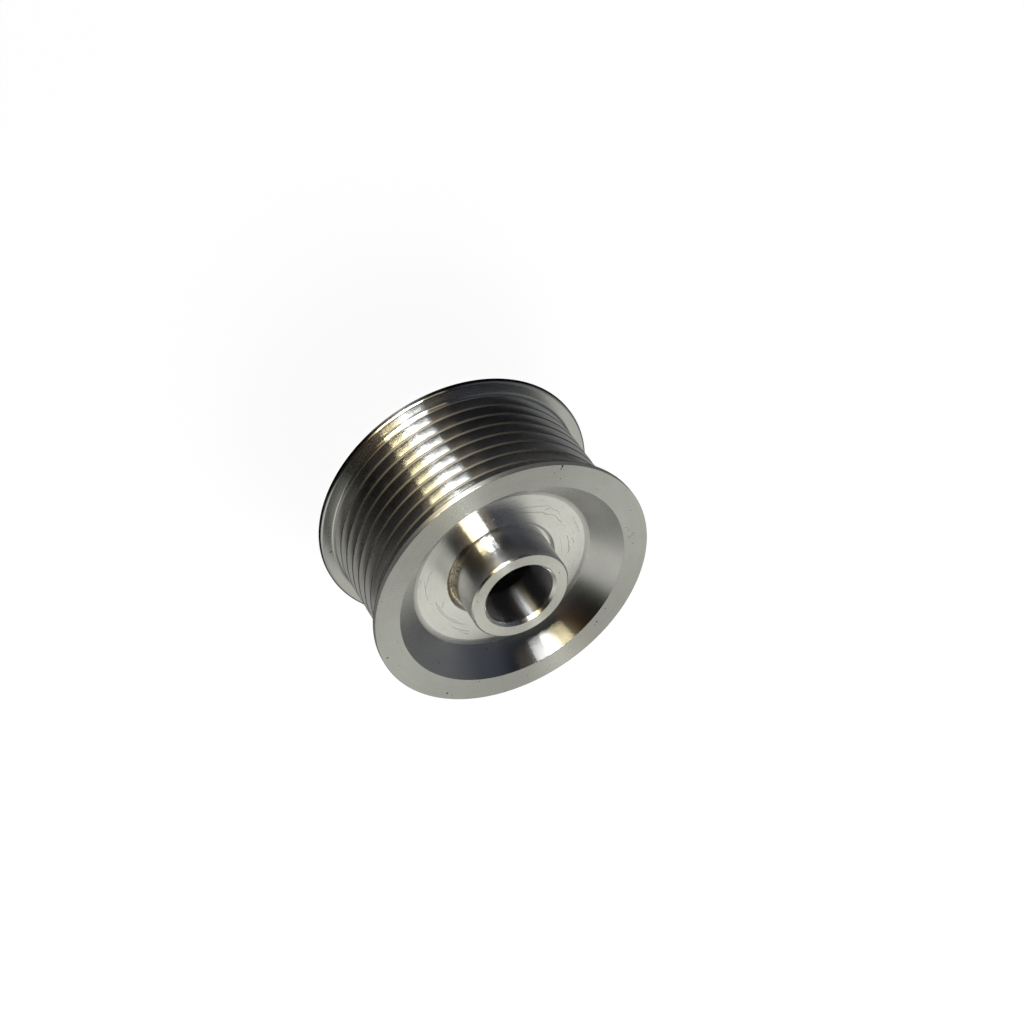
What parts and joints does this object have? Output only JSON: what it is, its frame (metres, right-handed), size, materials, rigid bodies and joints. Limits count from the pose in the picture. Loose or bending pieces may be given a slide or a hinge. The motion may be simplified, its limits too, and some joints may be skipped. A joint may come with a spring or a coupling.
{
  "type": "ribbed belt pulley",
  "caption": "One-piece turned pulley for a multi-rib belt, with two thin flanges, a conical front recess and a hub nose round its shaft bore.",
  "frame": {"origin": "on the pulley's axis, in the plane of the rear face that it stands on", "axes": "+Z along the axis, from the rear face towards the hub nose; X and Y are equivalent"},
  "size_m": [0.0696, 0.0696, 0.0372],
  "materials": {
    "turned_steel": "bright turned metal with fine rings of tool marks, a few pits and scratches and a brown stain at the hub root"
  },
  "bodies": {
    "root": {"pulley": "turned_steel"}
  },
  "joints": []
}
